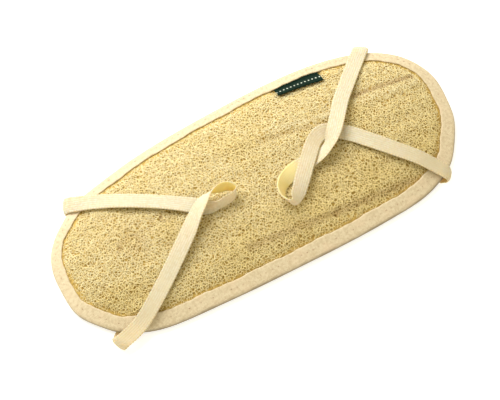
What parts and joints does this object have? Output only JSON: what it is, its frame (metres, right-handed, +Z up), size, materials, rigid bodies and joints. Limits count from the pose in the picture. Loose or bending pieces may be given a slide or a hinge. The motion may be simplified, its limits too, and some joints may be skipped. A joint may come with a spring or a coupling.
{
  "type": "loofah scrubbing pad",
  "caption": "Long oval natural loofah scrubbing pad with a cloth back, a bound cotton edge and narrow cotton hand straps folded over its face.",
  "frame": {"origin": "middle of the flat underside of the backing cloth, on the surface the pad lies on", "axes": "+X along the pad to its right end in the picture, +Y across it to the far edge, +Z up through the loofah face"},
  "size_m": [0.3517, 0.1516, 0.0388],
  "materials": {
    "loofah": "dry matt fibre net",
    "backing_cloth": "plain woven unbleached cotton",
    "cotton_tape": "twill cotton tape with small stitches",
    "strap_tape": "ribbed cotton tape",
    "label_cloth": "close woven satin ribbon"
  },
  "bodies": {
    "root": {"loofah_pad": "loofah", "backing_cloth": "backing_cloth", "edge_binding": "cotton_tape", "hand_strap_left": "strap_tape", "hand_strap_right": "strap_tape", "label": "label_cloth"}
  },
  "joints": []
}
